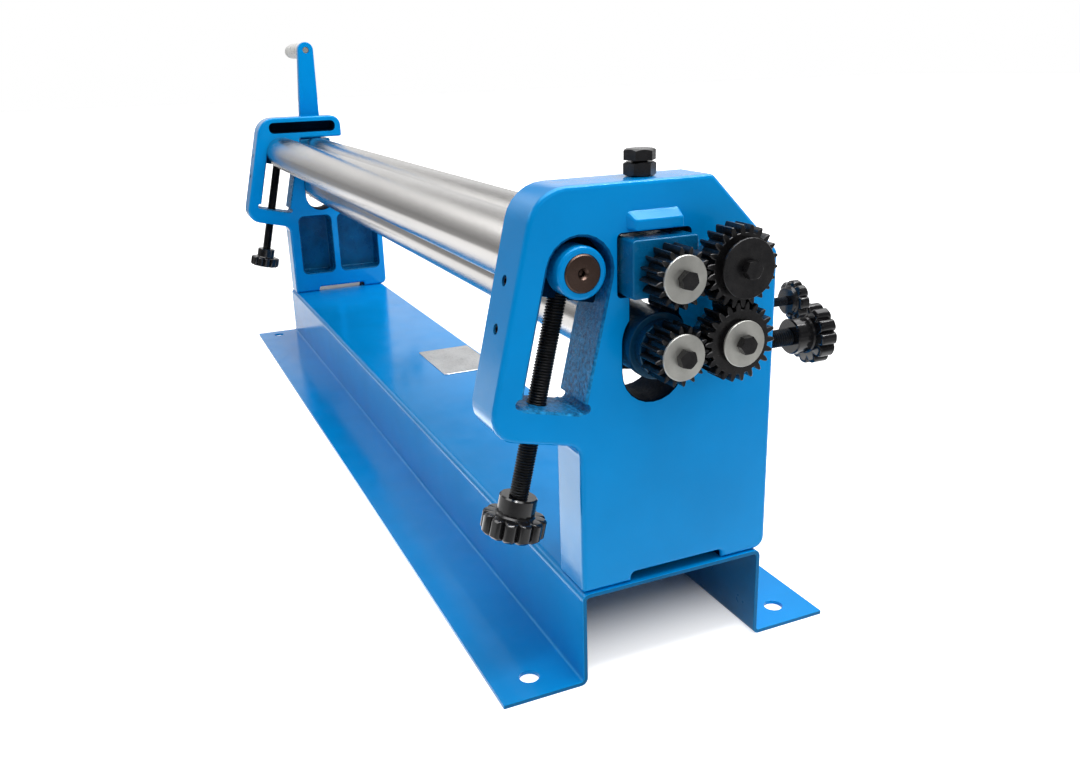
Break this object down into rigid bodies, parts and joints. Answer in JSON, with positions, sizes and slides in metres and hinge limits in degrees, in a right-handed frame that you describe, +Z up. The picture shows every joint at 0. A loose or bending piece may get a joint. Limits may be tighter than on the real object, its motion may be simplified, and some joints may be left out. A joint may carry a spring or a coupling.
{
  "type": "plate rolling machine",
  "caption": "Hand cranked slip roll for thin sheet: two geared pinch rolls and a bending roll between cast end frames on a folded steel base.",
  "frame": {"origin": "centre of the whole part's bounding box in plan, on the floor plane under the base flanges", "axes": "+X along the rolls towards the gear side, +Y towards the adjusting knobs of the lower roll, +Z up"},
  "size_m": [1.1708, 0.2481, 0.4214],
  "materials": {
    "blue_enamel": "gloss",
    "block_enamel": "gloss",
    "ground_steel": "satin",
    "zinc_steel": "satin",
    "black_steel": "satin",
    "plate_aluminium": "satin",
    "black_plastic": "gloss",
    "pale_grip": "satin"
  },
  "bodies": {
    "stand": {"base_channel": "blue_enamel", "data_plate": "plate_aluminium", "gear_side_frame": "blue_enamel", "crank_side_frame": "blue_enamel", "gear_side_rear_frame_bolt": "black_steel", "gear_side_front_frame_bolt": "black_steel", "crank_side_rear_frame_bolt": "black_steel", "crank_side_front_frame_bolt": "black_steel", "gear_side_upper_set_screw": "black_steel", "gear_side_lower_set_screw": "black_steel", "crank_side_upper_set_screw": "black_steel", "crank_side_lower_set_screw": "black_steel", "clamp_bolt": "black_steel", "clamp_jam_nut": "black_steel", "lower_idler_axle": "ground_steel", "lower_idler_washer": "zinc_steel", "lower_idler_bolt": "black_steel", "upper_idler_axle": "ground_steel", "upper_idler_washer": "black_steel", "upper_idler_bolt": "black_steel"},
    "lower_carriage": {"gear_side_lower_block": "block_enamel", "crank_side_lower_block": "block_enamel"},
    "lower_roll_set": {"lower_roll": "ground_steel", "lower_roll_gear": "black_steel", "lower_gear_key": "ground_steel", "lower_gear_washer": "zinc_steel", "lower_gear_bolt": "black_steel", "crank_arm": "blue_enamel", "crank_key": "ground_steel", "crank_washer": "zinc_steel", "crank_bolt": "black_steel", "crank_pin": "ground_steel"},
    "crank_grip_sleeve": {"crank_grip": "pale_grip"},
    "upper_carriage": {"gear_side_upper_block": "block_enamel", "crank_side_upper_block": "block_enamel"},
    "upper_roll_set": {"upper_roll": "ground_steel", "upper_roll_gear": "black_steel", "upper_gear_key": "ground_steel", "upper_gear_washer": "zinc_steel", "upper_gear_bolt": "black_steel"},
    "lower_idler": {"lower_idler_gear": "black_steel"},
    "upper_idler": {"upper_idler_gear": "black_steel"},
    "bending_carriage": {"gear_side_bending_block": "blue_enamel", "crank_side_bending_block": "blue_enamel"},
    "bending_roll_body": {"bending_roll": "ground_steel"},
    "gear_side_bending_screw_set": {"gear_side_bending_screw": "black_steel", "gear_side_bending_knob": "black_plastic"},
    "gear_side_lower_screw_body": {"gear_side_lower_screw": "black_steel"},
    "gear_side_lower_knob_body": {"gear_side_lower_knob": "black_plastic"},
    "gear_side_lock_screw_body": {"gear_side_lock_screw": "black_steel"},
    "gear_side_lock_knob_body": {"gear_side_lock_knob": "black_plastic"},
    "crank_side_bending_screw_set": {"crank_side_bending_screw": "black_steel", "crank_side_bending_knob": "black_plastic"},
    "crank_side_lower_screw_body": {"crank_side_lower_screw": "black_steel"},
    "crank_side_lower_knob_body": {"crank_side_lower_knob": "black_plastic"},
    "crank_side_lock_screw_body": {"crank_side_lock_screw": "black_steel"},
    "crank_side_lock_knob_body": {"crank_side_lock_knob": "black_plastic"}
  },
  "joints": [
    {"name": "lower_lift", "type": "slide", "parent": "stand", "child": "lower_carriage", "axis": [0, 0, 1], "range_m": [-0.0003, 0.001]},
    {"name": "lower_roll_spin", "type": "hinge", "parent": "lower_carriage", "child": "lower_roll_set", "pos_m": [0, -0.01338, 0.223], "axis": [1, 0, 0], "continuous": true},
    {"name": "crank_grip_spin", "type": "hinge", "parent": "lower_roll_set", "child": "crank_grip_sleeve", "pos_m": [-0.52515, -0.00585, 0.41045], "axis": [1, 0, 0], "continuous": true},
    {"name": "upper_swing", "type": "hinge", "parent": "stand", "child": "upper_carriage", "pos_m": [0.52295, -0.01338, 0.2682], "axis": [0, 0, -1], "range_deg": [0, 6.5]},
    {"name": "upper_roll_spin", "type": "hinge", "parent": "upper_carriage", "child": "upper_roll_set", "pos_m": [0, -0.01338, 0.2682], "axis": [1, 0, 0], "continuous": true},
    {"name": "lower_idler_spin", "type": "hinge", "parent": "stand", "child": "lower_idler", "pos_m": [0, 0.02505, 0.22659], "axis": [1, 0, 0], "continuous": true},
    {"name": "upper_idler_spin", "type": "hinge", "parent": "stand", "child": "upper_idler", "pos_m": [0, 0.02512, 0.27099], "axis": [1, 0, 0], "continuous": true},
    {"name": "bending_lift", "type": "slide", "parent": "stand", "child": "bending_carriage", "axis": [0, 0.2317, 0.9728], "range_m": [-0.048, 0]},
    {"name": "bending_roll_spin", "type": "hinge", "parent": "bending_carriage", "child": "bending_roll_body", "pos_m": [0, -0.06158, 0.2713], "axis": [1, 0, 0], "continuous": true},
    {"name": "gear_side_bending_knob_turn", "type": "hinge", "parent": "bending_carriage", "child": "gear_side_bending_screw_set", "pos_m": [0.52295, -0.08425, 0.18737], "axis": [0, 0.2317, 0.9728], "range_deg": [-9904.3, 30]},
    {"name": "crank_side_bending_knob_turn", "type": "hinge", "parent": "bending_carriage", "child": "crank_side_bending_screw_set", "pos_m": [-0.43905, -0.08425, 0.18737], "axis": [0, 0.2317, 0.9728], "range_deg": [-9904.3, 30]},
    {"name": "gear_side_lower_screw_advance", "type": "slide", "parent": "stand", "child": "gear_side_lower_screw_body", "axis": [0, -1, 0], "range_m": [-0.0021, 0.0068]},
    {"name": "gear_side_lower_knob_turn", "type": "hinge", "parent": "gear_side_lower_screw_body", "child": "gear_side_lower_knob_body", "pos_m": [0.52295, 0.1123, 0.207], "axis": [0, -1, 0], "range_deg": [-441.43, 1401.43]},
    {"name": "crank_side_lower_screw_advance", "type": "slide", "parent": "stand", "child": "crank_side_lower_screw_body", "axis": [0, -1, 0], "range_m": [-0.0021, 0.0068]},
    {"name": "crank_side_lower_knob_turn", "type": "hinge", "parent": "crank_side_lower_screw_body", "child": "crank_side_lower_knob_body", "pos_m": [-0.43905, 0.1123, 0.207], "axis": [0, -1, 0], "range_deg": [-441.43, 1401.43]},
    {"name": "gear_side_lock_screw_release", "type": "slide", "parent": "stand", "child": "gear_side_lock_screw_body", "axis": [0, 1, 0], "range_m": [0, 0.002]},
    {"name": "gear_side_lock_knob_turn", "type": "hinge", "parent": "gear_side_lock_screw_body", "child": "gear_side_lock_knob_body", "pos_m": [0.52795, 0.0971, 0.2333], "axis": [0, 1, 0], "range_deg": [-30, 750]},
    {"name": "crank_side_lock_screw_release", "type": "slide", "parent": "stand", "child": "crank_side_lock_screw_body", "axis": [0, 1, 0], "range_m": [0, 0.002]},
    {"name": "crank_side_lock_knob_turn", "type": "hinge", "parent": "crank_side_lock_screw_body", "child": "crank_side_lock_knob_body", "pos_m": [-0.44405, 0.0971, 0.2333], "axis": [0, 1, 0], "range_deg": [-30, 750]}
  ],
  "couplings": [
    {"joint": "upper_roll_spin", "follows": "lower_roll_spin", "ratio": -1},
    {"joint": "lower_idler_spin", "follows": "lower_roll_spin", "ratio": -0.72727},
    {"joint": "upper_idler_spin", "follows": "lower_roll_spin", "ratio": 0.72727},
    {"joint": "gear_side_bending_knob_turn", "follows": "bending_lift", "rad_per_m": 3590.4},
    {"joint": "gear_side_lower_screw_advance", "follows": "lower_lift", "ratio": 6.6667},
    {"joint": "gear_side_lower_knob_turn", "follows": "lower_lift", "rad_per_m": 23936},
    {"joint": "gear_side_lock_knob_turn", "follows": "gear_side_lock_screw_release", "rad_per_m": 6283.2},
    {"joint": "crank_side_bending_knob_turn", "follows": "bending_lift", "rad_per_m": 3590.4},
    {"joint": "crank_side_lower_screw_advance", "follows": "lower_lift", "ratio": 6.6667},
    {"joint": "crank_side_lower_knob_turn", "follows": "lower_lift", "rad_per_m": 23936},
    {"joint": "crank_side_lock_knob_turn", "follows": "crank_side_lock_screw_release", "rad_per_m": 6283.2}
  ]
}
